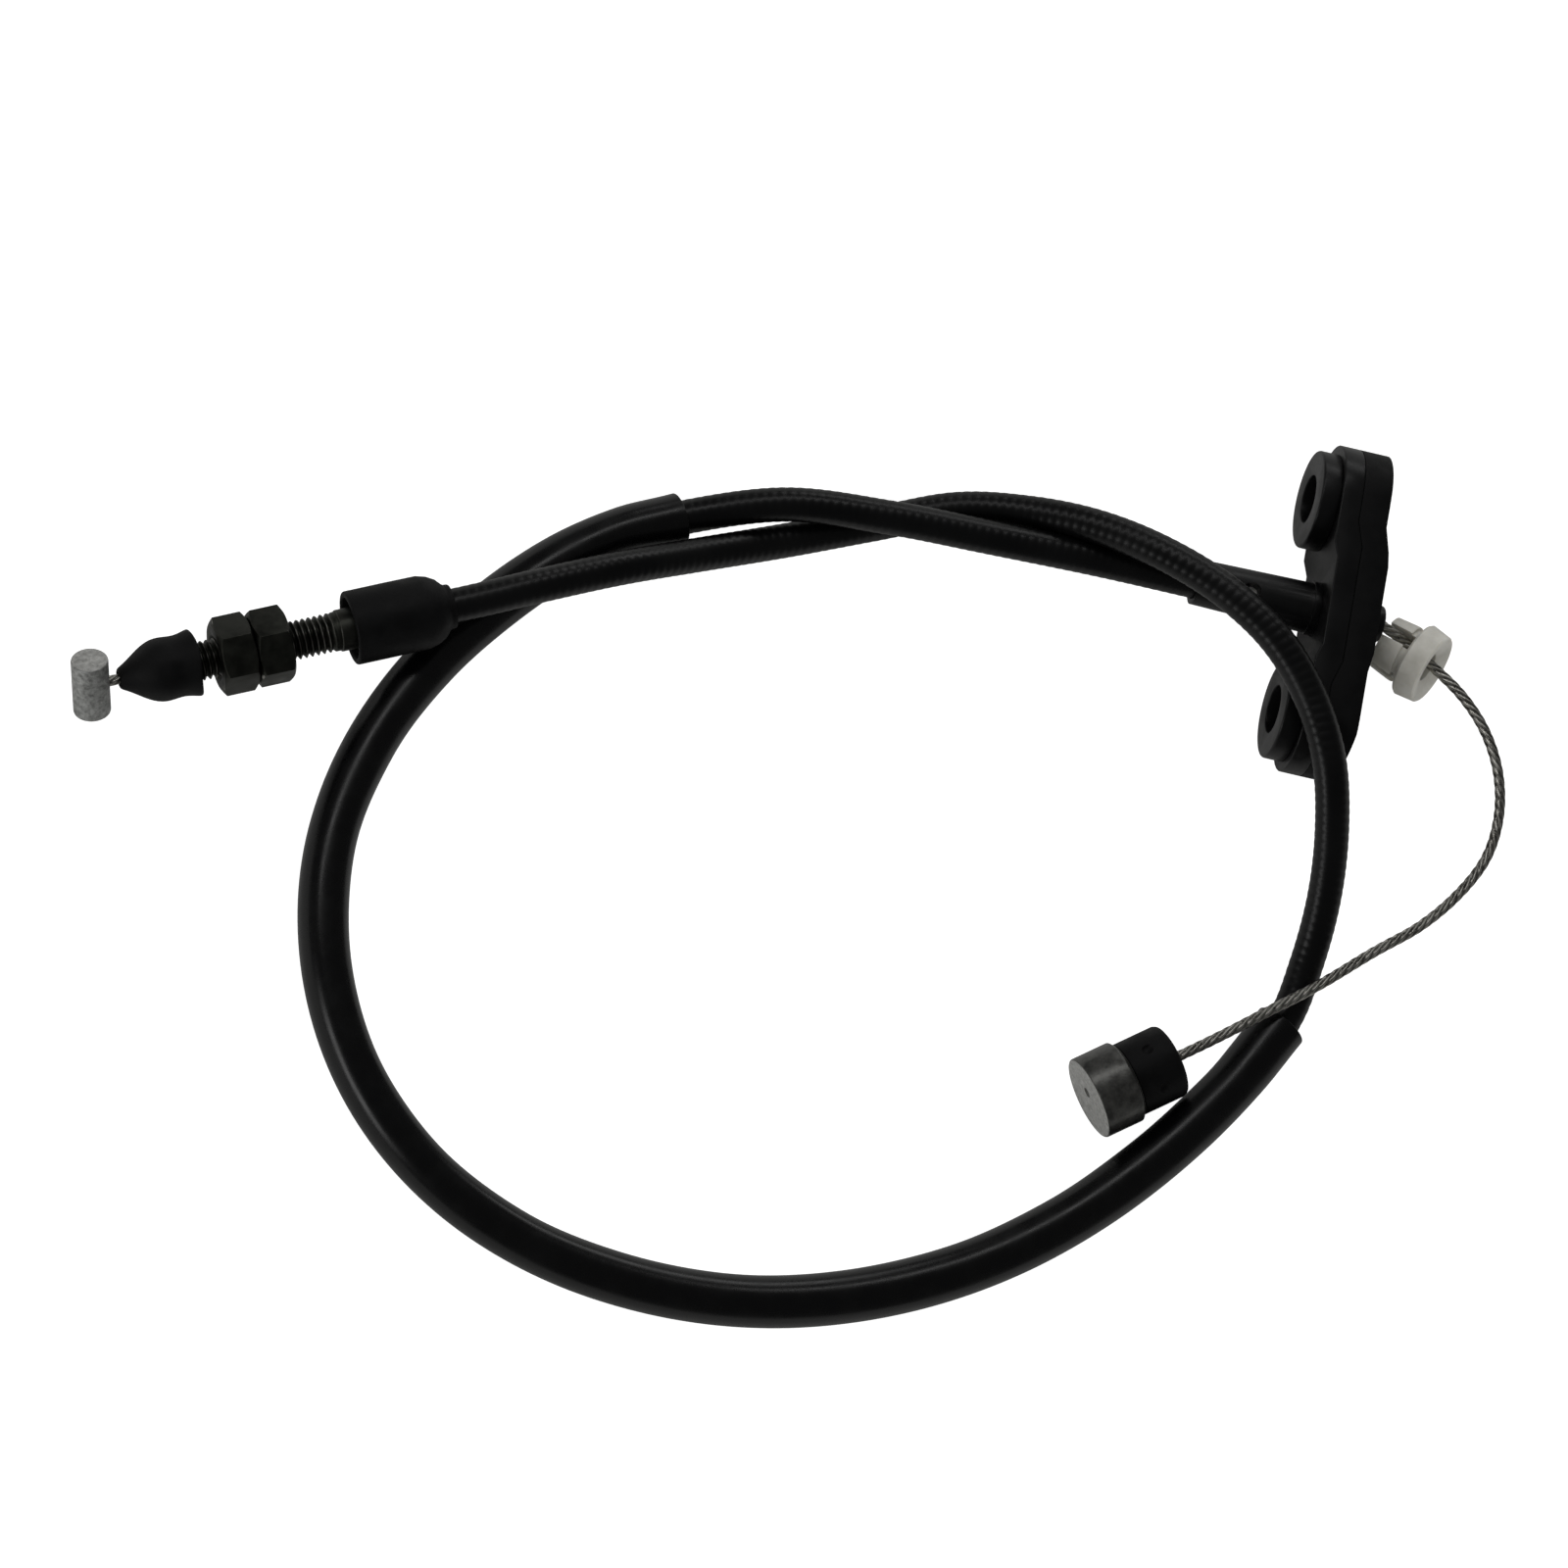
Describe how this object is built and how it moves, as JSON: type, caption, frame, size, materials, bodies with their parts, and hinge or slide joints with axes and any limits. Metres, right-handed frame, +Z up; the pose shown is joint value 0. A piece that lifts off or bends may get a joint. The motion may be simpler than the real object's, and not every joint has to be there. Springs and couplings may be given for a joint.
{
  "type": "throttle cable",
  "caption": "Throttle control cable with a threaded adjuster, lock nuts, a bolt-on flange with a seal, a protective sleeve, and a nipple at each end.",
  "frame": {"origin": "on the guide tube's axis, in the flange seal's mating face, midway between the two bolt holes", "axes": "+X along the guide tube's axis to the pedal side, +Y along the flange from the lower to the upper bolt hole, +Z up from the surface the cable lies on"},
  "size_m": [0.2964, 0.205, 0.0301],
  "materials": {
    "zinc_bright": "matt zinc plating, slightly mottled",
    "wire_steel": "bright stranded steel",
    "rubber_black": "matt black rubber",
    "phosphate": "black phosphated steel with worn bright edges",
    "jacket": "satin black polymer over a ribbed coil",
    "coil_steel": "drawn steel",
    "liner": "white low-friction polymer",
    "sleeve": "smooth black vinyl",
    "moulding": "fine grained black polyamide",
    "nylon": "translucent natural nylon",
    "zinc_dark": "dark die-cast zinc with a lighter cut face"
  },
  "bodies": {
    "root": {"dust_boot": "rubber_black", "adjuster_tube": "phosphate", "casing_cap": "rubber_black", "conduit_jacket": "jacket", "conduit_coil": "coil_steel", "conduit_liner": "liner", "conduit_wire": "wire_steel", "protective_sleeve": "sleeve", "guide_tube": "moulding", "flange_plate": "moulding", "mount_pad_upper": "moulding", "mount_pad_lower": "moulding", "flange_seal": "rubber_black", "nozzle": "moulding", "pedal_wire": "wire_steel", "rubber_damper": "rubber_black", "pedal_nipple": "zinc_dark"},
    "throttle_wire": {"barrel_nipple": "zinc_bright", "throttle_wire": "wire_steel"},
    "lock_nut_front": {"lock_nut_front": "phosphate"},
    "lock_nut_rear": {"lock_nut_rear": "phosphate"},
    "pedal_bush": {"pedal_bush": "nylon"}
  },
  "joints": [
    {"name": "throttle_pull", "type": "slide", "parent": "root", "child": "throttle_wire", "axis": [-0.9067, -0.4037, -0.1219], "range_m": [0, 0.035]},
    {"name": "front_nut_travel", "type": "slide", "parent": "root", "child": "lock_nut_front", "axis": [-0.9067, -0.4037, -0.1219], "range_m": [0, 0.004]},
    {"name": "rear_nut_travel", "type": "slide", "parent": "root", "child": "lock_nut_rear", "axis": [0.9067, 0.4037, 0.1219], "range_m": [0, 0.01]},
    {"name": "bush_travel", "type": "slide", "parent": "root", "child": "pedal_bush", "axis": [0.8325, -0.4006, 0.3827], "range_m": [0, 0.005]}
  ]
}
